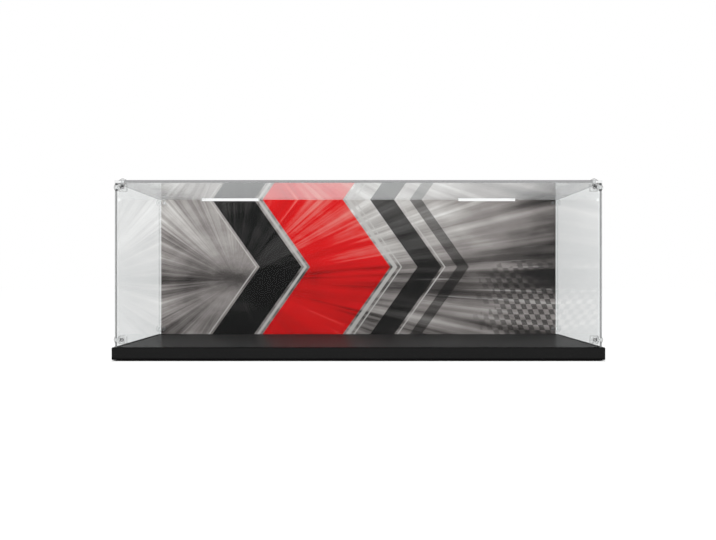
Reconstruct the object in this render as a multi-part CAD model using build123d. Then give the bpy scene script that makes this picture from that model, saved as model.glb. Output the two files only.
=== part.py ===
"""Clear acrylic display case: a bottomless cover that lifts off a black base board.

The cover is five clear panels held by eight clear corner connectors. A push stud with a raised head
goes through each panel into each connector it touches. A printed background is stuck inside the back
panel. The cover's four walls stand in a groove routed round the top of the base board.

Sizes are in millimetres. The origin is the centre of the rectangle that the feet stand on. +X is the
viewer's right, the front faces -Y and +Z is up.
"""

from build123d import *
import os

# Cover, outside sizes. Its height is what shows above the base board's top. The side panels stop
# short of the front and back ones by the butt gap.
cover_width = 700.0
cover_depth = 320.0
cover_height = 240.0
panel_thickness = 4.0
butt_gap = 0.1

# Base board, which stands out past the cover all round
base_thickness = 18.0
base_margin = 3.5
base_edge_bevel = 1.0
groove_depth = 2.5
groove_clearance = 0.4

# Rubber feet, stuck under the board near its corners
foot_radius = 7.0
foot_thickness = 1.6
foot_inset = 24.0

# Background print, a thin printed sheet
print_thickness = 0.4
print_side_gap = 0.3
print_bottom_gap = 0.5

# Two slots along the top edge of the back panel and its print, for air and a thin lighting lead
slot_length = 100.0
slot_height = 2.5
slot_centre = 225.0

# Corner connectors: a small clear block with a blind socket in the middle of each of its three
# outer faces. The seat gap keeps it off the panels.
connector_size = 11.5
connector_edge_bevel = 0.8
connector_floor_gap = 4.6
connector_seat_gap = 0.05
socket_core_wall = 0.3

# Push studs: a raised head on a shank with four ribs, whose outer corners grip the hole
head_radius = 6.0
head_crown_radius = 2.6
head_height = 3.4
shank_radius = 2.5
rib_width = 1.6
shank_lead_in = 0.8
lead_in_angle = 18.0
stud_clearance = 0.06
stud_tip_gap = 0.3

# Places worked out from the sizes above
deck_z = foot_thickness + base_thickness
wall_bottom_z = deck_z - groove_depth
cover_top_z = deck_z + cover_height
wall_top_z = cover_top_z - panel_thickness
half_width = cover_width / 2
half_depth = cover_depth / 2
inner_half_width = half_width - panel_thickness
inner_half_depth = half_depth - panel_thickness
print_face_y = inner_half_depth - print_thickness
base_width = cover_width + 2 * base_margin
base_depth = cover_depth + 2 * base_margin

# Every stud goes through the same size of hole. The sockets stop short of each other inside the block.
socket_inset = connector_size / 2
hole_radius = shank_radius + stud_clearance
socket_depth = socket_inset - hole_radius - socket_core_wall
shank_length = panel_thickness + socket_depth - stud_tip_gap

SIDES = {"left": -1, "right": 1}
FACES = {"front": -1, "back": 1}
LEVELS = {"bottom": -1, "top": 1}


def corner_point(side, face, level):
    """Outer corner of the connector in one corner of the cover; each argument is -1 or 1."""
    x = side * (inner_half_width - connector_seat_gap)
    y = face * ((print_face_y if face > 0 else inner_half_depth) - connector_seat_gap)
    z = wall_top_z - connector_seat_gap if level > 0 else deck_z + connector_floor_gap
    return Vector(x, y, z)


def stud_point(side, face, level):
    """Where the axes of a connector's three sockets would meet."""
    return corner_point(side, face, level) - Vector(side, face, level) * socket_inset


def slab(low, high):
    """A box between two opposite corners."""
    size = [b - a for a, b in zip(low, high)]
    middle = [(a + b) / 2 for a, b in zip(low, high)]
    return Pos(*middle) * Box(*size)


def drill(centres, axis, radius):
    """Round holes through everything along one axis, at each of the centres."""
    reach = cover_width + cover_depth + cover_height
    return [Plane(origin=c, z_dir=axis) * Cylinder(radius, reach) for c in centres]


def top_slots():
    """Cutters for the two slots under the top panel."""
    behind = half_depth + panel_thickness
    low_z, high_z = wall_top_z - slot_height, wall_top_z + panel_thickness
    return [
        slab(
            (side * slot_centre - slot_length / 2, print_face_y - panel_thickness, low_z),
            (side * slot_centre + slot_length / 2, behind, high_z),
        )
        for side in SIDES.values()
    ]


def wall_along_x(face):
    """Front or back panel: full width, under the top panel, with a hole for each of its four studs."""
    near, far = sorted((face * inner_half_depth, face * half_depth))
    panel = slab((-half_width, near, wall_bottom_z), (half_width, far, wall_top_z))
    centres = [stud_point(s, face, v) for s in SIDES.values() for v in LEVELS.values()]
    return panel - drill([Vector(c.X, 0, c.Z) for c in centres], (0, 1, 0), hole_radius)


def wall_along_y(side):
    """Left or right panel: it stands between the front and back panels."""
    near, far = sorted((side * inner_half_width, side * half_width))
    reach = inner_half_depth - butt_gap
    panel = slab((near, -reach, wall_bottom_z), (far, reach, wall_top_z))
    centres = [stud_point(side, f, v) for f in FACES.values() for v in LEVELS.values()]
    return panel - drill([Vector(0, c.Y, c.Z) for c in centres], (1, 0, 0), hole_radius)


def top_panel():
    """It lies over all four walls, flush with their outsides."""
    panel = slab((-half_width, -half_depth, wall_top_z), (half_width, half_depth, cover_top_z))
    centres = [stud_point(s, f, 1) for s in SIDES.values() for f in FACES.values()]
    return panel - drill([Vector(c.X, c.Y, 0) for c in centres], (0, 0, 1), hole_radius)


def background_print():
    """The printed sheet on the back panel's inner face, pierced by the back studs."""
    reach = inner_half_width - print_side_gap
    sheet = slab(
        (-reach, print_face_y, deck_z + print_bottom_gap),
        (reach, inner_half_depth, wall_top_z),
    )
    centres = [stud_point(s, 1, v) for s in SIDES.values() for v in LEVELS.values()]
    holes = drill([Vector(c.X, 0, c.Z) for c in centres], (0, 1, 0), hole_radius)
    return sheet - holes - top_slots()


def base_board():
    """The board, with its broken edges and the groove that the walls stand in."""
    half_x, half_y = base_width / 2, base_depth / 2
    board = slab((-half_x, -half_y, foot_thickness), (half_x, half_y, deck_z))
    board = chamfer(board.edges(), base_edge_bevel)
    out, inside = groove_clearance, panel_thickness + groove_clearance
    groove = slab(
        (-half_width - out, -half_depth - out, wall_bottom_z),
        (half_width + out, half_depth + out, deck_z + panel_thickness),
    ) - slab(
        (-half_width + inside, -half_depth + inside, wall_bottom_z - groove_depth),
        (half_width - inside, half_depth - inside, deck_z + 2 * panel_thickness),
    )
    return board - groove


def rubber_feet():
    """One low rubber disc under each corner of the board."""
    disc = Cylinder(foot_radius, foot_thickness, align=(Align.CENTER, Align.CENTER, Align.MIN))
    reach_x, reach_y = base_width / 2 - foot_inset, base_depth / 2 - foot_inset
    return [Pos(x * reach_x, y * reach_y, 0) * disc for x in SIDES.values() for y in FACES.values()]


def corner_connector(side, face, level):
    """A bevelled block in one corner, with a socket in each face that looks outwards."""
    inwards = Vector(side, face, level) * (-connector_size / 2)
    block = Pos(corner_point(side, face, level) + inwards) * Box(*[connector_size] * 3)
    block = chamfer(block.edges(), connector_edge_bevel)
    socket = Cylinder(hole_radius, socket_depth, align=(Align.CENTER, Align.CENTER, Align.MAX))
    for outward in (Vector(side, 0, 0), Vector(0, face, 0), Vector(0, 0, level)):
        mouth = stud_point(side, face, level) + outward * socket_inset
        block -= Plane(origin=mouth, z_dir=outward) * socket
    return block


def push_stud():
    """Raised head above z = 0, and below it a shank of four ribs that narrows towards its tip."""
    profile = Polyline(
        (0, 0), (head_radius, 0), (head_crown_radius, head_height), (0, head_height), close=True
    )
    head = revolve(make_face(Plane.XZ * profile), Axis.Z)
    # The ribs' outer corners lie on the shank's radius
    rib_span = 2 * (shank_radius**2 - (rib_width / 2) ** 2) ** 0.5
    ribs = Rectangle(rib_span, rib_width) + Rectangle(rib_width, rib_span)
    straight = shank_length - shank_lead_in
    shank = extrude(ribs, -straight)
    tip = extrude(Pos(0, 0, -straight) * ribs, -shank_lead_in, taper=lead_in_angle)
    return head + shank + tip


def studs_through(outward, centres):
    """One stud at each centre, its head standing on the panel face that looks outwards."""
    stud = push_stud()
    return [Plane(origin=c, z_dir=outward) * stud for c in centres]


def studs_in_wall(face):
    places = [stud_point(s, face, v) for s in SIDES.values() for v in LEVELS.values()]
    return studs_through((0, face, 0), [Vector(c.X, face * half_depth, c.Z) for c in places])


def studs_in_end(side):
    places = [stud_point(side, f, v) for f in FACES.values() for v in LEVELS.values()]
    return studs_through((side, 0, 0), [Vector(side * half_width, c.Y, c.Z) for c in places])


def studs_in_top():
    places = [stud_point(s, f, 1) for s in SIDES.values() for f in FACES.values()]
    return studs_through((0, 0, 1), [Vector(c.X, c.Y, cover_top_z) for c in places])


def sub_parts():
    """Every named piece or group of like pieces, with its solids."""
    parts = {
        "base_board": base_board(),
        "rubber_feet": rubber_feet(),
        "front_panel": wall_along_x(-1),
        "back_panel": wall_along_x(1) - top_slots(),
        "top_panel": top_panel(),
        "background_print": background_print(),
        "studs_top": studs_in_top(),
    }
    for name, face in FACES.items():
        parts[f"studs_{name}"] = studs_in_wall(face)
    for name, side in SIDES.items():
        parts[f"{name}_panel"] = wall_along_y(side)
        parts[f"studs_{name}"] = studs_in_end(side)
    for face_name, face in FACES.items():
        for side_name, side in SIDES.items():
            for level_name, level in LEVELS.items():
                name = f"connector_{face_name}_{side_name}_{level_name}"
                parts[name] = corner_connector(side, face, level)
    return parts


os.makedirs("parts", exist_ok=True)
for node, shape in sub_parts().items():
    solids = shape if isinstance(shape, list) else [shape]
    whole = Compound(children=[s for piece in solids for s in piece.solids()])
    export_step(whole, f"parts/{node}.step")
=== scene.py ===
"""Looks of the clear acrylic display case, built around its packed model."""

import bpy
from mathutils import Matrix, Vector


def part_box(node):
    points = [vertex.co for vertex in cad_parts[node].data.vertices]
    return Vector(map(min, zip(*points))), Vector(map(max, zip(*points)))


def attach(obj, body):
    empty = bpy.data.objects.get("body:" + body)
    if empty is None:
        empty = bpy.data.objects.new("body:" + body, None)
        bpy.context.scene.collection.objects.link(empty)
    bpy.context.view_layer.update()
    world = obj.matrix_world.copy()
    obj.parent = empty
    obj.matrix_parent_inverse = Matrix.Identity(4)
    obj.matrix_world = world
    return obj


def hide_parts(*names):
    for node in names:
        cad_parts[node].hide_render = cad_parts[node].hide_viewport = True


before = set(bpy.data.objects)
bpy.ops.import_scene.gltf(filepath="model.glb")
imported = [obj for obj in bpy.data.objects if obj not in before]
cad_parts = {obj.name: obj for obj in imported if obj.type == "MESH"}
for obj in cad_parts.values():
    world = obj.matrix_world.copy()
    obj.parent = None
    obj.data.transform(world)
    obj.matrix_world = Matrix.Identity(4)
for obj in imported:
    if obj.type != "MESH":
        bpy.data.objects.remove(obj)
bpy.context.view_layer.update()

import math

import bmesh
import bpy
from bpy.props import FloatProperty, FloatVectorProperty, IntProperty, PointerProperty

bl_info = {
    "name": "Acrylic display case",
    "version": (1, 0, 0),
    "blender": (4, 5, 0),
    "location": "3D View > Sidebar > Display case",
    "description": "Clear panels, corner fittings, printed background and base of a display case",
    "category": "Object",
}

# The sheets across each of the three axes
PANELS = (("left_panel", "right_panel"), ("front_panel", "back_panel"), ("top_panel",))
CONNECTORS = tuple(
    f"connector_{face}_{side}_{level}"
    for face in ("front", "back")
    for side in ("left", "right")
    for level in ("bottom", "top")
)
# Each group of studs: the panel it goes through and the way its heads face
STUD_ROWS = {
    "studs_front": ("front_panel", (0, -1, 0)),
    "studs_back": ("back_panel", (0, 1, 0)),
    "studs_left": ("left_panel", (-1, 0, 0)),
    "studs_right": ("right_panel", (1, 0, 0)),
    "studs_top": ("top_panel", (0, 0, 1)),
}
HEAD_RADIUS = 0.006
HEAD_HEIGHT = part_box("studs_top")[1].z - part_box("top_panel")[1].z
SHANK_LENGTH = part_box("top_panel")[1].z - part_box("studs_top")[0].z
# Profile of a turned stud: its rings as shares of the head's radius, how its crown falls away,
# and where its shank narrows and to what share of its radius
HEAD_RINGS = [step / 12 for step in range(1, 13)]
CROWN_POWER, CROWN_FALL = 1.7, 0.94
LEAD_IN_START, LEAD_IN_SHARE = 0.88, 0.7
WELD_DISTANCE = 1e-6
CREASE_ANGLE = math.radians(35)

# What a cut edge shows close to a stud's hole, in metres from the line through the studs, and
# how wide each of these fades: the hole's gap, the clear corner past it and its painted dark flanks
GAP_REACH, GAP_FADE = 0.0022, 0.0006
CORNER_REACH, CORNER_FADE = 0.0035, 0.001
FLANK_FROM, FLANK_TO, FLANK_FADE = 0.0033, 0.0052, 0.0008
# A cut edge is clear this near its inner face, and then clouds over this width
ARRIS_CLEAR, ARRIS_FADE = 0.0003, 0.0012
# The same for the board's foot: it mirrors nothing this near its underside, as painted shade, and
# then mirrors more over this width
FOOT_SHADE_HEIGHT, FOOT_SHADE_FADE = 0.0012, 0.003
# Painted shade on the upper half of a top stud's tip, above the line through the studs
TIP_FROM, TIP_TO, TIP_FADE = 0.0004, 0.004, 0.0006

# The print's chevrons, in half widths from its middle: start, end and strength of each charcoal
# one, start and end of the red one, and start and width of each pinstripe
CHARCOAL_BANDS = ((0.3, 0.42, 0.95), (0.5, 0.56, 0.7), (-0.5, -0.29, 1.0))
RED_BAND = (-0.245, 0.16)
PINSTRIPES = ((-0.52, 0.006), (-0.275, 0.014), (0.175, 0.022), (0.215, 0.006), (0.435, 0.006))
# Squares of its chequer in a metre, and how far they lean
CHEQUER_PITCH, CHEQUER_LEAN = 110.0, 0.35

SENSOR_WIDTH_MM = 36.0
WHITE = (1.0, 1.0, 1.0, 1.0)


# Shader maths

class Value:
    """One output of a node tree. Arithmetic on it adds Math nodes."""

    def __init__(self, nodes, socket):
        self.nodes = nodes
        self.socket = socket

    def math(self, operation, *others, clamp=False):
        return self.nodes.math(operation, self, *others, clamp=clamp)

    def __add__(self, other):
        return self.math("ADD", other)

    def __radd__(self, other):
        return self.nodes.math("ADD", other, self)

    def __sub__(self, other):
        return self.math("SUBTRACT", other)

    def __rsub__(self, other):
        return self.nodes.math("SUBTRACT", other, self)

    def __mul__(self, other):
        return self.math("MULTIPLY", other)

    def __rmul__(self, other):
        return self.nodes.math("MULTIPLY", other, self)

    def __truediv__(self, other):
        return self.math("DIVIDE", other)

    def __pow__(self, other):
        return self.math("POWER", other)

    def __abs__(self):
        return self.math("ABSOLUTE")

    def clamped(self):
        return self.math("ADD", 0.0, clamp=True)

    def floor(self):
        return self.math("FLOOR")


class Nodes:
    """Adds nodes to one node tree."""

    def __init__(self, tree):
        self.tree = tree

    def node(self, kind, settings=None, sockets=None):
        """A node of this type, with its settings made first and then its sockets set or linked."""
        made = self.tree.nodes.new(kind)
        for name, value in (settings or {}).items():
            if name == "stops":
                ramp = made.color_ramp.elements
                while len(ramp) < len(value):
                    ramp.new(1.0)
                for element, (place, colour) in zip(ramp, value):
                    element.position = place
                    element.color = colour
            else:
                setattr(made, name, value)
        for name, value in (sockets or {}).items():
            self.feed(made.inputs[name], value)
        return made

    def feed(self, socket, value):
        if isinstance(value, Value):
            self.tree.links.new(value.socket, socket)
        elif isinstance(value, bpy.types.NodeSocket):
            self.tree.links.new(value, socket)
        else:
            socket.default_value = value

    def value(self, kind, settings=None, sockets=None, output=0):
        return Value(self, self.node(kind, settings, sockets).outputs[output])

    def math(self, operation, *terms, clamp=False):
        return self.value(
            "ShaderNodeMath",
            {"operation": operation, "use_clamp": clamp},
            dict(enumerate(terms)),
        )

    def mixed(self, factor, first, second):
        """A colour between two colours."""
        return self.value(
            "ShaderNodeMix", {"data_type": "RGBA"}, {0: factor, 6: first, 7: second}, output=2
        )

    def ramp(self, factor, *stops):
        """A colour from a ramp. Each stop is a place, and a grey or a red, green and blue."""
        stops = [
            (place, (*(colour if isinstance(colour, tuple) else (colour,) * 3), 1.0))
            for place, colour in stops
        ]
        return self.value("ShaderNodeValToRGB", {"stops": stops}, {"Fac": factor})

    def slant(self):
        """0 where the surface is seen head on, rising to 1 where it is seen edge on."""
        return self.value("ShaderNodeLayerWeight", None, {"Blend": 0.5}, output=1)

    def shader(self, kind, sockets=None):
        return self.node(kind, None, sockets).outputs[0]

    def mix_shader(self, factor, first, second):
        return self.shader("ShaderNodeMixShader", {0: factor, 1: first, 2: second})

    def noise(self, vector, scale, detail, roughness=0.5):
        return self.value(
            "ShaderNodeTexNoise",
            None,
            {"Vector": vector, "Scale": scale, "Detail": detail, "Roughness": roughness},
        )

    def vector(self, x=0.0, y=0.0, z=0.0):
        return self.value("ShaderNodeCombineXYZ", None, {0: x, 1: y, 2: z})

    def parts(self, vector):
        split = self.node("ShaderNodeSeparateXYZ", None, {0: vector})
        return [Value(self, out) for out in split.outputs]

    def coordinates(self, output="Object"):
        return self.value("ShaderNodeTexCoord", output=output)

    def bump(self, height, strength, distance):
        return self.value(
            "ShaderNodeBump", None, {"Height": height, "Strength": strength, "Distance": distance}
        )

    def any_ray(self, *names):
        """1 for rays of any of these kinds, and 0 for all others."""
        path = self.node("ShaderNodeLightPath")
        rays = [Value(self, path.outputs[name]) for name in names]
        total = rays[0]
        for ray in rays[1:]:
            total = total + ray
        return total.clamped()


def new_material(name):
    """An empty node material and the Nodes that fill it."""
    material = bpy.data.materials.new(name)
    material.use_nodes = True
    material.node_tree.nodes.clear()
    return material, Nodes(material.node_tree)


def surface(nodes, shader):
    """Ends a material's nodes in this shader."""
    nodes.node("ShaderNodeOutputMaterial", None, {"Surface": shader})


def dress(node, material):
    """Gives a node of the packed model this material."""
    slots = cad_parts[node].data.materials
    slots.clear()
    slots.append(material)


def soft_band(position, low, high, edge):
    """1 between low and high, falling to 0 over the edge width outside them."""
    rise = ((position - low) / edge + 1.0).clamped()
    fall = ((high - position) / edge + 1.0).clamped()
    return rise * fall


# Settings

class CaseStageSettings(bpy.types.PropertyGroup):
    """Camera, lamps and floor"""

    lens: FloatProperty(
        name="Lens", description="Focal length on a 36 mm sensor", default=50.0, min=1.0
    )
    camera_gap: FloatProperty(
        name="Camera gap",
        description="From the camera to the front panel",
        default=1.4266,
        unit="LENGTH",
    )
    camera_height: FloatProperty(
        name="Camera height", description="Above the floor", default=0.1219, unit="LENGTH"
    )
    shift_x: FloatProperty(
        name="Shift X", description="Camera shift to the side, in frame widths", default=-0.00063
    )
    shift_y: FloatProperty(
        name="Shift Y", description="Camera shift upwards, in frame widths", default=0.0084
    )
    world_fill: FloatProperty(
        name="World fill", description="World light on surfaces that scatter it", default=0.55
    )
    key_power: FloatProperty(
        name="Key power", description="Overhead soft box", default=26.0, subtype="POWER"
    )
    side_power: FloatProperty(
        name="Side power", description="Each front side soft box", default=9.0, subtype="POWER"
    )
    floor_size: FloatProperty(
        name="Floor size", description="Side of the square floor", default=14.0, unit="LENGTH"
    )


class CaseClearSettings(bpy.types.PropertyGroup):
    """Clear panels, connectors and studs"""

    sheet_mirror: FloatProperty(
        name="Sheet mirror",
        description="Share of light mirrored by the sheet when seen head on",
        default=0.006,
        min=0.0,
        max=1.0,
    )
    plastic_ior: FloatProperty(
        name="Plastic index", description="Of the connectors and studs", default=1.49, min=1.0
    )
    sheet_colour: FloatVectorProperty(
        name="Sheet colour",
        description="What the sheet lets through",
        size=4,
        default=(0.985, 0.99, 0.99, 1.0),
        subtype="COLOR",
    )
    edge_colour: FloatVectorProperty(
        name="Cut edge colour",
        description="Of the sawn and polished edges",
        size=4,
        default=(0.27, 0.27, 0.273, 1.0),
        subtype="COLOR",
    )
    butt_share: FloatProperty(
        name="Butted edge share",
        description="How much a cut edge shows from inside the sheet, or under the top panel",
        default=0.12,
        min=0.0,
        max=1.0,
    )
    # Painted shadow: height of the dark line on the back panel just above the board
    painted_shadow_line: FloatProperty(
        name="Foot line",
        description="Height of the dark line under the print",
        default=0.0006,
        unit="LENGTH",
    )
    back_share: FloatProperty(
        name="Back share",
        description="How much of the front fittings' shading those at the back have",
        default=0.2,
        min=0.0,
        max=1.0,
    )
    fitting_haze: FloatProperty(
        name="Fitting haze",
        description="Share of a fitting's plastic that bends light instead of passing it straight",
        default=0.08,
        min=0.0,
        max=1.0,
    )
    # Painted grey shade on the fittings' slanted faces and on their shanks' tips
    rim_shade: FloatProperty(
        name="Rim shade",
        description="How grey a fitting looks where it is seen at a slant",
        default=0.75,
        min=0.0,
        max=1.0,
    )
    tip_shade: FloatProperty(
        name="Tip shade",
        description="How dark the tip of a stud's shank looks inside its socket",
        default=1.0,
        min=0.0,
        max=1.0,
    )
    head_radius: FloatProperty(
        name="Head radius", description="Of a push stud", default=HEAD_RADIUS, unit="LENGTH"
    )
    head_height: FloatProperty(
        name="Head height", description="Of a push stud", default=HEAD_HEIGHT, unit="LENGTH"
    )
    shank_radius: FloatProperty(
        name="Shank radius", description="Of a push stud", default=0.0025, unit="LENGTH"
    )
    shank_length: FloatProperty(
        name="Shank length", description="Below the head", default=SHANK_LENGTH, unit="LENGTH"
    )
    segments: IntProperty(
        name="Segments", description="Faces round a push stud", default=48, min=12
    )


class CasePrintSettings(bpy.types.PropertyGroup):
    """Printed background"""

    source_across: FloatProperty(
        name="Source across", description="Where the streaks start, in half widths", default=-0.62
    )
    source_up: FloatProperty(
        name="Source up", description="Where the streaks start, in heights", default=0.4
    )
    chevron_slant: FloatProperty(
        name="Chevron slant", description="How far a chevron's tip leads its ends", default=0.24
    )
    red: FloatVectorProperty(
        name="Red",
        description="Broad chevron",
        size=4,
        default=(0.84, 0.008, 0.01, 1.0),
        subtype="COLOR",
    )
    charcoal: FloatVectorProperty(
        name="Charcoal",
        description="Narrower chevrons",
        size=4,
        default=(0.004, 0.004, 0.004, 1.0),
        subtype="COLOR",
    )
    pale: FloatVectorProperty(
        name="Pale",
        description="Pinstripes and glints",
        size=4,
        default=(0.62, 0.6, 0.58, 1.0),
        subtype="COLOR",
    )


class CaseBaseSettings(bpy.types.PropertyGroup):
    """Base board"""

    colour: FloatVectorProperty(
        name="Lacquer colour",
        description="Base board",
        size=4,
        default=(0.008, 0.008, 0.008, 1.0),
        subtype="COLOR",
    )
    mirror: FloatProperty(
        name="Mirror", description="Share mirrored when seen head on", default=0.009, min=0.0
    )
    roughness: FloatProperty(
        name="Lacquer roughness", description="Satin finish", default=0.16, min=0.0, max=1.0
    )


# Materials

def clear_sheet(settings, axis):
    """Clear sheet lying across one axis: 0, 1 or 2."""
    material, n = new_material("clear_sheet_" + "xyz"[axis])
    normal = [abs(part) for part in n.parts(n.coordinates("Normal"))]
    where = n.coordinates()
    front = 1.0 - Value(n, n.node("ShaderNodeNewGeometry").outputs["Backfacing"])
    through = n.shader("ShaderNodeBsdfTransparent", {"Color": tuple(settings.sheet_colour)})
    face = sheet_face(n, settings, axis, where, front, through)
    # A cut edge hardly shows from inside the sheet, or where the top panel lies on it
    covered = normal[2].math("GREATER_THAN", 0.5) if axis < 2 else 0.0
    hidden = (1.0 - front + covered).clamped() * (1.0 - settings.butt_share)
    edge = cut_edge(n, settings, axis, where, front, hidden, through)
    cut = 1.0 - normal[axis].math("GREATER_THAN", 0.5)
    sheet = n.mix_shader(cut, face, edge)
    if axis == 1:
        # Painted shadow: a dark line on the back panel, in the gap that the print leaves above the
        # board
        _, y, z = n.parts(where)
        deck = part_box("base_board")[1].z
        strip = soft_band(z, deck, deck + settings.painted_shadow_line, 0.0001)
        sheet = n.mix_shader(strip * y.math("GREATER_THAN", 0.0), sheet, painted_shade_plastic(n))
    surface(n, sheet)
    return material


def sheet_face(n, settings, axis, where, front, through):
    """The sheet's polished faces, which let light through and mirror it at a slant."""
    slant = n.slant()
    haze = n.noise(where, 9.0, 3.0)
    mirror = front * (slant**4.4 * 0.97 + settings.sheet_mirror)
    gloss = n.shader(
        "ShaderNodeBsdfGlossy", {"Color": WHITE, "Roughness": (haze - 0.45) * 0.12 + 0.015}
    )
    face = n.mix_shader(mirror, through, gloss)
    if axis != 2:
        return face
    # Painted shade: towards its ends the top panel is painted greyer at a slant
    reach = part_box("top_panel")[1].x
    ends = ((abs(n.parts(where)[0]) / reach - 0.74) * 7.0).clamped()
    painted_end_shade = n.shader(
        "ShaderNodeBsdfPrincipled", {"Base Color": shaded(WHITE, 0.3), "Roughness": 0.5}
    )
    return n.mix_shader(front * ends * slant**4.0 * 0.6, face, painted_end_shade)


def cut_edge(n, settings, axis, where, front, hidden, through):
    """The sheet's grey cut edges, with what their studs' holes show there, and on the side panels
    painted dark flanks beside the upper holes.
    """
    saw = n.noise(where, 900.0, 2.0)
    body = n.shader(
        "ShaderNodeBsdfPrincipled",
        {
            "Base Color": n.mixed(
                saw, shaded(settings.edge_colour, 0.9), tuple(settings.edge_colour)
            ),
            "Roughness": saw * 0.2 + 0.2,
            "IOR": settings.plastic_ior,
        },
    )
    # A stud's hole, close behind a cut edge, shows there as a bright gap
    place = n.parts(where)
    lines = stud_lines(axis)
    gaps = [
        soft_band(place[k], centre - GAP_REACH, centre + GAP_REACH, GAP_FADE)
        for k, centres in lines.items()
        for centre in centres
    ]
    if axis != 1:
        # Between the cover's top corners and their studs the edges are bright too
        outer, start = (place[2], lines[2][1]) if axis == 0 else (abs(place[0]), lines[0][1])
        gaps.append(soft_band(outer, start - CORNER_REACH, 1.0, CORNER_FADE))
    bright = sum(gaps, 0.0)
    solid = (1.0 - bright.clamped() * 0.85) * (1.0 - hidden)
    if axis != 0:
        return n.mix_shader(solid * 0.9, through, body)
    # The arris along the inner face lets more light through
    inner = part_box("right_panel")[0].x
    solid = solid * ((abs(place[0]) - inner - ARRIS_CLEAR) / ARRIS_FADE).clamped()
    edge = n.mix_shader(solid * 0.9, through, body)
    # Painted shade: dark flanks above and below the holes of the upper studs
    flank = soft_band(abs(place[2] - lines[2][1]), FLANK_FROM, FLANK_TO, FLANK_FADE)
    return n.mix_shader(flank * front * 0.8, edge, painted_shade_plastic(n))


def painted_shade_plastic(n):
    """Near-black plastic for painted shade: the shadow line above the board and the dark flanks by
    the upper holes.
    """
    return n.shader(
        "ShaderNodeBsdfPrincipled", {"Base Color": shaded(WHITE, 0.006), "Roughness": 0.7}
    )


def stud_lines(axis):
    """For the sheets across one axis, where their studs lie along each of the other two."""
    low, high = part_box(("studs_left", "studs_front", "studs_top")[axis])
    return {k: (low[k] + HEAD_RADIUS, high[k] - HEAD_RADIUS) for k in range(3) if k != axis}


def shaded(colour, share):
    """The same colour with this share of its light."""
    return tuple(c * share for c in colour[:3]) + (1.0,)


def clear_plastic(settings, name, roughness, rim=3.0, tip=0.0, grey=0.1):
    """Clear moulded plastic that bends a share of the light.

    A low rim is a wide one. Tip is how dark the painted shade on a shank's marked tip is, and grey
    is the tone of the painted shade on rims and tips.
    """
    material, n = new_material(name)
    grain = n.noise(n.coordinates(), 220.0, 2.0)
    bumps = n.bump(grain, 0.05, 0.0002)
    glass = n.shader(
        "ShaderNodeBsdfPrincipled",
        {
            "Base Color": (0.97, 0.98, 0.98, 1.0),
            "Roughness": grain * 0.05 + roughness,
            "IOR": settings.plastic_ior,
            "Transmission Weight": 1.0,
            "Normal": bumps,
        },
    )
    through = n.shader("ShaderNodeBsdfTransparent", {"Color": (0.97, 0.97, 0.97, 1.0)})
    painted_shade_grey = n.shader(
        "ShaderNodeBsdfPrincipled",
        {
            "Base Color": n.mixed(grain, shaded(WHITE, grey), shaded(WHITE, grey * 1.4)),
            "Roughness": grain * 0.1 + 0.25,
            "IOR": settings.plastic_ior,
            "Normal": bumps,
        },
    )
    # Painted shade: slanted faces are painted grey, and so is the shank's tip, standing in for the
    # dark that the socket's end mirrors. The case's back gets less of this painted shade, and least
    # of all at the top left, where the print is pale.
    x, y, z = n.parts(n.coordinates())
    behind = y.math("GREATER_THAN", 0.0)
    high = z.math("GREATER_THAN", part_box("front_panel")[1].z / 2)
    pale = behind * high * x.math("LESS_THAN", 0.0)
    seen = 1.0 - behind * (1.0 - settings.back_share)
    shade = n.slant() ** rim * settings.rim_shade * seen
    if tip:
        at_tip = Value(n, n.node("ShaderNodeAttribute", {"attribute_name": "tip"}).outputs["Fac"])
        shade = shade.math("MAXIMUM", at_tip * (tip * seen) * (1.0 - pale * 0.65))
        # Painted shade on the upper halves of the highest tips
        line = stud_lines(1)[2][1]
        above = soft_band(z, line + TIP_FROM, line + TIP_TO, TIP_FADE)
        shade = shade.math("MAXIMUM", at_tip * above * seen)
    lit = 1.0 - n.any_ray("Is Shadow Ray")
    body = n.mix_shader(lit * seen * settings.fitting_haze, through, glass)
    surface(n, n.mix_shader(lit * shade, body, painted_shade_grey))
    return material


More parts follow.
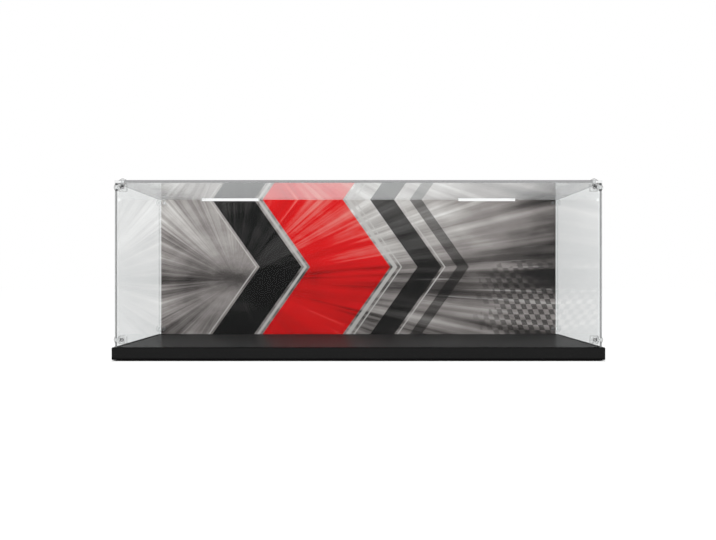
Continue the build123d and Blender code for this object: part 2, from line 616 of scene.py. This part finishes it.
def printed_sheet(settings):
    """Abstract print: red and charcoal chevrons over warm grey streaks, with a fading chequer."""
    material, n = new_material("printed_sheet")
    low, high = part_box("background_print")
    where = n.coordinates()
    x, _, z = n.parts(where)
    across = x * (1 / high.x)
    up = (z - low.z) * (1 / (high.z - low.z))
    light, glint = streaks(n, settings, x, z, across, up)
    pale = tuple(settings.pale)
    grey = n.ramp(
        light,
        (0.0, (0.012, 0.011, 0.011)),
        (0.25, (0.1, 0.089, 0.086)),
        (0.55, (0.34, 0.31, 0.3)),
        (0.8, (0.6, 0.57, 0.55)),
        (1.0, (0.88, 0.86, 0.84)),
    )
    colour = n.mixed(glint * 0.5, grey, pale)

    # Chevrons point to the right
    chevron = across + abs(up * 2.0 - 1.0) * settings.chevron_slant
    sharp = 0.0012
    red = tuple(settings.red[:3])
    reds = n.ramp(
        light,
        (0.0, (0.07, 0.0, 0.0)),
        (0.3, tuple(c * 0.75 for c in red)),
        (0.65, red),
        (1.0, (0.9, 0.25, 0.22)),
    )
    charcoals = n.mixed(
        (light * 0.5 + glint * 0.2 - 0.24).clamped(),
        tuple(settings.charcoal),
        (0.3, 0.285, 0.28, 1.0),
    )
    for start, end, strength in CHARCOAL_BANDS:
        colour = n.mixed(soft_band(chevron, start, end, sharp) * strength, colour, charcoals)
    colour = n.mixed(soft_band(chevron, *RED_BAND, sharp), colour, reds)
    for start, width in PINSTRIPES:
        stripe = soft_band(chevron, start, start + width, sharp)
        colour = n.mixed(stripe * 0.85, colour, pale)

    # A slanted chequer that thins out towards the left
    column = ((x + z * CHEQUER_LEAN) * CHEQUER_PITCH).floor()
    line = (z * CHEQUER_PITCH).floor()
    square = (column + line).math("MODULO", 2.0).math("ABSOLUTE")
    dropped = n.noise(n.vector(column * 1.7, 9.0, line * 1.3), 1.0, 0.0)
    near = soft_band(across, 0.8, 1.1, 0.3) * soft_band(up, -0.1, 0.42, 0.25)
    chequer = square * (near * 1.3 - dropped).math("GREATER_THAN", 0.1) * near
    colour = n.mixed(chequer * 0.7, colour, (0.02, 0.019, 0.019, 1.0))

    surface(
        n,
        n.shader(
            "ShaderNodeBsdfPrincipled",
            {
                "Base Color": colour,
                "Roughness": n.noise(where, 60.0, 2.0) * 0.1 + 0.42,
                "Specular IOR Level": 0.1,
            },
        ),
    )
    return material


def streaks(n, settings, x, z, across, up):
    """How light the print is, and where thin glints run, along streaks spread from one point."""
    low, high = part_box("background_print")
    from_x = x - high.x * settings.source_across
    from_z = z - (low.z + (high.z - low.z) * settings.source_up)
    reach = (from_x * from_x + from_z * from_z).math("SQRT")
    round_x, round_z = from_x / reach, from_z / reach

    def rays(finer, along, start, detail):
        """Noise that changes fast round the point and slowly away from it."""
        place = n.vector(round_x * finer, round_z * finer, reach * along + start)
        return n.noise(place, 1.0, detail)

    # Clouds near the point give way to streaks, and the upper right corner darkens
    clouds = n.noise(n.vector(x * 9.0, 2.0, z * 15.0), 1.0, 7.0, 0.62)
    level = n.parts(n.ramp(up, (0.0, 0.3), (0.22, 0.42), (0.42, 0.17), (0.58, 0.4), (1.0, 0.58)))[0]
    blur = (reach * 5.0).clamped()
    right_corner = (across + up * 0.8 - 1.15).clamped()
    light = (
        level
        + (rays(7.0, 3.0, 5.0, 3.0) - 0.5) * blur * 1.4
        + (rays(34.0, 1.5, 0.0, 4.0) - 0.5) * blur
        + (clouds - 0.5) * (1.0 - blur * 0.55) * 1.2
        + 0.12
        - right_corner * 0.9
    ).clamped()
    glint = ((rays(90.0, 5.0, 2.0, 1.0) - 0.66) * 7.0).clamped() * blur
    return light, glint


def black_lacquer(settings):
    """Satin black lacquer that mirrors faintly, more at a slant."""
    material, n = new_material("black_lacquer")
    where = n.coordinates()
    ripple = n.bump(n.noise(where, 260.0, 2.0), 0.06, 0.0003)
    # Painted shade: the bevels and the foot of the board mirror nothing, so they stay as dark as
    # the paint
    normal = [abs(part) for part in n.parts(n.coordinates("Normal"))]
    flat = (normal[0] + normal[1] + normal[2]).math("LESS_THAN", 1.2)
    height = n.parts(where)[2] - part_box("base_board")[0].z
    lift = ((height - FOOT_SHADE_HEIGHT) / FOOT_SHADE_FADE).clamped()
    mirror = (n.slant() ** 4.0 * 0.14 + settings.mirror) * flat * lift
    paint = n.shader(
        "ShaderNodeBsdfPrincipled",
        {
            "Base Color": n.mixed(
                n.noise(where, 5.0, 4.0), shaded(settings.colour, 0.7), tuple(settings.colour)
            ),
            "Roughness": 1.0,
            "Specular IOR Level": 0.0,
            "Normal": ripple,
        },
    )
    gloss = n.shader(
        "ShaderNodeBsdfPrincipled",
        {
            "Base Color": WHITE,
            "Metallic": 1.0,
            "Roughness": n.noise(where, 30.0, 3.0) * 0.08 + (settings.roughness - 0.04),
            "Normal": ripple,
        },
    )
    haze = n.shader(
        "ShaderNodeBsdfPrincipled", {"Base Color": WHITE, "Metallic": 1.0, "Roughness": 0.55}
    )
    surface(n, n.mix_shader(mirror, paint, n.mix_shader(0.3, gloss, haze)))
    return material


def foot_rubber():
    """Matte black rubber with a fine grain."""
    material, n = new_material("foot_rubber")
    grain = n.noise(n.coordinates(), 1500.0, 2.0)
    surface(
        n,
        n.shader(
            "ShaderNodeBsdfPrincipled",
            {
                "Base Color": n.mixed(grain, shaded(WHITE, 0.014), shaded(WHITE, 0.026)),
                "Roughness": grain * 0.2 + 0.65,
                "Normal": n.bump(grain, 0.3, 0.0001),
            },
        ),
    )
    return material


def white_floor():
    """White to the camera and in mirrors, with a faint share of true shading for the shadow."""
    material, n = new_material("white_floor")
    seen = n.any_ray("Is Camera Ray", "Is Glossy Ray", "Is Transmission Ray")
    where = n.coordinates()
    paper = n.shader(
        "ShaderNodeBsdfDiffuse",
        {"Color": n.mixed(n.noise(where, 3.0, 2.0), shaded(WHITE, 0.8), shaded(WHITE, 0.82))},
    )
    # A little over 1, so that the floor stays white beside the share of true shading
    glow = n.shader("ShaderNodeEmission", {"Color": WHITE, "Strength": 1.08})
    # Under the board no light gets in, so the glow is left out over its footprint and only true
    # shading shows there; the footprint's soft rim is a painted contact shadow
    x, y, _ = n.parts(where)
    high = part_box("base_board")[1]
    outside = 1.0 - soft_band(x, -high.x, high.x, 0.002) * soft_band(y, -high.y, high.y, 0.002)
    surface(n, n.mix_shader(seen * outside * 0.88, paper, glow))
    return material


# Operators

class CASE_OT_light_stage(bpy.types.Operator):
    """Set up the camera, soft lamps, white world and floor"""

    bl_idname = "case.light_stage"
    bl_label = "Light the stage"

    def execute(self, context):
        settings = context.scene.case_stage
        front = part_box("front_panel")[0].y
        self.camera(context.scene, settings, front)
        self.world(context.scene, settings)
        self.lamps(context.scene, settings)
        self.floor(context.scene, settings)
        context.scene.view_settings.view_transform = "Standard"
        # Light passes through many clear layers where the fittings overlap
        context.scene.cycles.transparent_max_bounces = 32
        return {"FINISHED"}

    def camera(self, scene, settings, front):
        data = bpy.data.cameras.new("case_camera")
        data.lens = settings.lens
        data.sensor_width = SENSOR_WIDTH_MM
        data.shift_x, data.shift_y = settings.shift_x, settings.shift_y
        camera = bpy.data.objects.new("case_camera", data)
        camera.location = (0.0, front - settings.camera_gap, settings.camera_height)
        camera.rotation_euler = (math.radians(90), 0.0, 0.0)
        scene.collection.objects.link(camera)
        scene.camera = camera

    def world(self, scene, settings):
        world = bpy.data.worlds.new("white_world")
        world.use_nodes = True
        world.node_tree.nodes.clear()
        n = Nodes(world.node_tree)
        seen = n.any_ray("Is Camera Ray", "Is Glossy Ray", "Is Transmission Ray")
        strength = seen * (1.0 - settings.world_fill) + settings.world_fill
        sky = n.shader("ShaderNodeBackground", {"Color": WHITE, "Strength": strength})
        n.node("ShaderNodeOutputWorld", None, {"Surface": sky})
        scene.world = world

    def lamps(self, scene, settings):
        lamps = (
            ("overhead_box", (0.0, -0.5, 1.9), (1.8, 1.4), settings.key_power),
            ("left_box", (-1.6, -1.8, 1.1), (1.2, 1.2), settings.side_power),
            ("right_box", (1.6, -1.8, 1.1), (1.2, 1.2), settings.side_power),
        )
        for name, place, (width, depth), power in lamps:
            data = bpy.data.lights.new(name, "AREA")
            data.shape = "RECTANGLE"
            data.size, data.size_y = width, depth
            data.energy = power
            lamp = bpy.data.objects.new(name, data)
            lamp.location = place
            aim = frame_centre() - lamp.location
            lamp.rotation_euler = aim.to_track_quat("-Z", "Y").to_euler()
            lamp.visible_glossy = False
            scene.collection.objects.link(lamp)

    def floor(self, scene, settings):
        half = settings.floor_size / 2
        mesh = bpy.data.meshes.new("floor")
        corners = [(-half, -half, 0), (half, -half, 0), (half, half, 0), (-half, half, 0)]
        mesh.from_pydata(corners, [], [(0, 1, 2, 3)])
        mesh.materials.append(white_floor())
        floor = bpy.data.objects.new("floor", mesh)
        scene.collection.objects.link(floor)


def frame_centre():
    """The middle of the case, which the lamps face."""
    low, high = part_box("base_board")
    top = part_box("top_panel")[1].z
    centre = (low + high) / 2
    centre.z = top / 2
    return centre


class CASE_OT_finish_panels(bpy.types.Operator):
    """Finish the five clear sheets"""

    bl_idname = "case.finish_panels"
    bl_label = "Clear panels"

    def execute(self, context):
        settings = context.scene.case_clear
        for axis, names in enumerate(PANELS):
            material = clear_sheet(settings, axis)
            for name in names:
                dress(name, material)
        return {"FINISHED"}


class CASE_OT_finish_connectors(bpy.types.Operator):
    """Finish the eight corner connectors"""

    bl_idname = "case.finish_connectors"
    bl_label = "Corner connectors"

    def execute(self, context):
        settings = context.scene.case_clear
        material = clear_plastic(settings, "connector_plastic", 0.02, rim=6.0)
        for name in CONNECTORS:
            dress(name, material)
        return {"FINISHED"}


class CASE_OT_finish_print(bpy.types.Operator):
    """Finish the printed background"""

    bl_idname = "case.finish_print"
    bl_label = "Printed background"

    def execute(self, context):
        dress("background_print", printed_sheet(context.scene.case_print))
        return {"FINISHED"}


class CASE_OT_finish_base(bpy.types.Operator):
    """Finish the base board and its feet"""

    bl_idname = "case.finish_base"
    bl_label = "Base board and feet"

    def execute(self, context):
        dress("base_board", black_lacquer(context.scene.case_base))
        dress("rubber_feet", foot_rubber())
        return {"FINISHED"}


class CASE_OT_make_studs(bpy.types.Operator):
    """Turn the push studs and set them through the panels"""

    bl_idname = "case.make_studs"
    bl_label = "Push studs"

    def execute(self, context):
        settings = context.scene.case_clear
        head = clear_plastic(settings, "stud_head", 0.02, rim=2.2)
        tip = settings.tip_shade
        shank = clear_plastic(settings, "stud_shank", 0.2, tip=tip * 0.45, grey=0.05)
        top_shank = clear_plastic(settings, "top_stud_shank", 0.2, tip=tip, grey=0.01)
        # Painted shade: the whole of a back stud's shank is painted as dark as the print round it
        back_tip = 0.95 / settings.back_share
        back_shank = clear_plastic(settings, "back_stud_shank", 0.2, tip=back_tip)
        trees = {
            "studs_top": stud_tree(head, top_shank, 0.6),
            "studs_back": stud_tree(head, back_shank, 0.1),
        }
        others = stud_tree(head, shank, 0.9)
        for row, (panel, outward) in STUD_ROWS.items():
            tree = trees.get(row, others)
            places = stud_places(row, panel, outward, settings.head_radius)
            piece = geometry_piece(context, "turned_" + row, places, outward, tree, settings)
            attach(piece, "cover")
            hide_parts(row)
        return {"FINISHED"}


def stud_places(row, panel, outward, head_radius):
    """Where the heads of one group of studs stand: four places on the panel's outer face."""
    low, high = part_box(row)
    panel_low, panel_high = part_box(panel)
    spans = []
    for axis, way in enumerate(outward):
        if way:
            spans.append([panel_high[axis] if way > 0 else panel_low[axis]])
        else:
            spans.append([low[axis] + head_radius, high[axis] - head_radius])
    return [(x, y, z) for x in spans[0] for y in spans[1] for z in spans[2]]


def stud_tree(head_material, shank_material, dark_from):
    """Turns one stud from a row of rings, and puts a copy at each point, facing outwards.

    The shank is marked as the tip, which its material paints with shade, below the dark_from share
    of its length.
    """
    tree = bpy.data.node_groups.new("push_studs", "GeometryNodeTree")
    face = tree.interface
    face.new_socket("Points", in_out="INPUT", socket_type="NodeSocketGeometry")
    for name in ("Head Radius", "Head Height", "Shank Radius", "Shank Length"):
        face.new_socket(name, in_out="INPUT", socket_type="NodeSocketFloat")
    face.new_socket("Segments", in_out="INPUT", socket_type="NodeSocketInt")
    face.new_socket("Outward", in_out="INPUT", socket_type="NodeSocketVector")
    face.new_socket("Studs", in_out="OUTPUT", socket_type="NodeSocketGeometry")
    n = Nodes(tree)
    given = n.node("NodeGroupInput")
    points, radius, height, shank, length, segments, outward = (
        Value(n, socket) for socket in given.outputs[:7]
    )
    # Radius and height of each ring, from the crown down to the shank's tip
    rings = [
        (0.0, height),
        *[
            (radius * share, height * (1.0 - share**CROWN_POWER * CROWN_FALL))
            for share in HEAD_RINGS
        ],
        (radius, 0.0),
        (shank, 0.0),
        (shank, length * -LEAD_IN_START),
        (shank * LEAD_IN_SHARE, length * -1.0),
        (0.0, length * -1.0),
    ]
    # A flat grid is rolled up: one row of points for each ring
    per_ring = segments + 1.0
    grid = n.node(
        "GeometryNodeMeshGrid", None, {"Vertices X": len(rings), "Vertices Y": per_ring}
    )
    index = n.value("GeometryNodeInputIndex")
    ring = ((index + 0.5) / per_ring).floor()
    step = index - ring * per_ring
    angle = step * (2 * math.pi) / segments
    switch = n.node("GeometryNodeIndexSwitch", {"data_type": "VECTOR"})
    while len(switch.index_switch_items) < len(rings):
        switch.index_switch_items.new()
    n.feed(switch.inputs["Index"], ring)
    for item, (ring_radius, ring_height) in enumerate(rings):
        n.feed(switch.inputs[item + 1], n.vector(ring_radius, 0.0, ring_height))
    ring_radius, _, ring_height = n.parts(Value(n, switch.outputs[0]))
    turned = n.node(
        "GeometryNodeSetPosition",
        None,
        {
            "Geometry": grid.outputs["Mesh"],
            "Position": n.vector(
                ring_radius * angle.math("COSINE"), ring_radius * angle.math("SINE"), ring_height
            ),
        },
    )
    welded = n.node(
        "GeometryNodeMergeByDistance", None, {0: turned.outputs[0], "Distance": WELD_DISTANCE}
    )
    depth = n.parts(n.value("GeometryNodeInputPosition"))[2]
    below = depth.math("LESS_THAN", -10 * WELD_DISTANCE)
    marked = n.node(
        "GeometryNodeStoreNamedAttribute",
        {"data_type": "BOOLEAN", "domain": "FACE"},
        {"Geometry": welded.outputs[0], "Name": "shank", "Value": below},
    )
    low = depth.math("LESS_THAN", length * -dark_from)
    tipped = n.node(
        "GeometryNodeStoreNamedAttribute",
        {"data_type": "FLOAT", "domain": "FACE"},
        {"Geometry": marked.outputs[0], "Name": "tip", "Value": low},
    )
    facing = n.node("FunctionNodeAlignRotationToVector", {"axis": "Z"}, {"Vector": outward})
    copies = n.node(
        "GeometryNodeInstanceOnPoints",
        None,
        {"Points": points, "Instance": tipped.outputs[0], "Rotation": facing.outputs[0]},
    )
    real = n.node("GeometryNodeRealizeInstances", None, {0: copies.outputs[0]})
    smooth = n.node("GeometryNodeSetShadeSmooth", None, {0: real.outputs[0]})
    heads = n.node(
        "GeometryNodeSetMaterial", None, {0: smooth.outputs[0], "Material": head_material}
    )
    on_shank = n.value(
        "GeometryNodeInputNamedAttribute", {"data_type": "BOOLEAN"}, {"Name": "shank"}
    )
    painted = n.node(
        "GeometryNodeSetMaterial",
        None,
        {0: heads.outputs[0], "Selection": on_shank, "Material": shank_material},
    )
    n.node("NodeGroupOutput", None, {0: painted.outputs[0]})
    return tree


def geometry_piece(context, name, places, outward, tree, settings):
    """A plain mesh piece, made by the stud tree from a mesh of bare points."""
    seed = bpy.data.meshes.new(name + "_points")
    seed.from_pydata(places, [], [])
    holder = bpy.data.objects.new(name + "_points", seed)
    context.scene.collection.objects.link(holder)
    modifier = holder.modifiers.new("studs", "NODES")
    modifier.node_group = tree
    values = {
        "Head Radius": settings.head_radius,
        "Head Height": settings.head_height,
        "Shank Radius": settings.shank_radius,
        "Shank Length": settings.shank_length,
        "Segments": settings.segments,
        "Outward": outward,
    }
    for item in tree.interface.items_tree:
        if item.name in values:
            modifier[item.identifier] = values[item.name]
    context.view_layer.update()
    graph = context.evaluated_depsgraph_get()
    mesh = bpy.data.meshes.new_from_object(holder.evaluated_get(graph), depsgraph=graph)
    bpy.data.objects.remove(holder)
    outward_faces(mesh)
    mesh.name = name
    piece = bpy.data.objects.new(name, mesh)
    context.scene.collection.objects.link(piece)
    return piece


def outward_faces(mesh):
    """Turns every face outwards, and keeps the creases sharp."""
    shell = bmesh.new()
    shell.from_mesh(mesh)
    bmesh.ops.recalc_face_normals(shell, faces=shell.faces)
    shell.to_mesh(mesh)
    shell.free()
    mesh.set_sharp_from_angle(angle=CREASE_ANGLE)


class CASE_PT_sidebar(bpy.types.Panel):
    """The case's settings, and the operators that make and finish its pieces"""

    bl_idname = "CASE_PT_sidebar"
    bl_label = "Display case"
    bl_space_type = "VIEW_3D"
    bl_region_type = "UI"
    bl_category = "Display case"

    def draw(self, context):
        for name, kind in SETTINGS.items():
            box = self.layout.box()
            box.label(text=kind.__doc__)
            for setting in kind.__annotations__:
                box.prop(getattr(context.scene, name), setting)
        for operator in OPERATORS:
            self.layout.operator(operator.bl_idname)


OPERATORS = (
    CASE_OT_light_stage,
    CASE_OT_finish_panels,
    CASE_OT_finish_connectors,
    CASE_OT_finish_print,
    CASE_OT_finish_base,
    CASE_OT_make_studs,
)
SETTINGS = {
    "case_stage": CaseStageSettings,
    "case_clear": CaseClearSettings,
    "case_print": CasePrintSettings,
    "case_base": CaseBaseSettings,
}


def register():
    for kind in (*SETTINGS.values(), *OPERATORS, CASE_PT_sidebar):
        bpy.utils.register_class(kind)
    for name, kind in SETTINGS.items():
        setattr(bpy.types.Scene, name, PointerProperty(type=kind))


def unregister():
    for name in SETTINGS:
        delattr(bpy.types.Scene, name)
    for kind in reversed((*SETTINGS.values(), *OPERATORS, CASE_PT_sidebar)):
        bpy.utils.unregister_class(kind)


def main():
    register()
    bpy.ops.case.light_stage()
    bpy.ops.case.finish_panels()
    bpy.ops.case.finish_connectors()
    bpy.ops.case.finish_print()
    bpy.ops.case.finish_base()
    bpy.ops.case.make_studs()


if __name__ == "__main__":
    main()
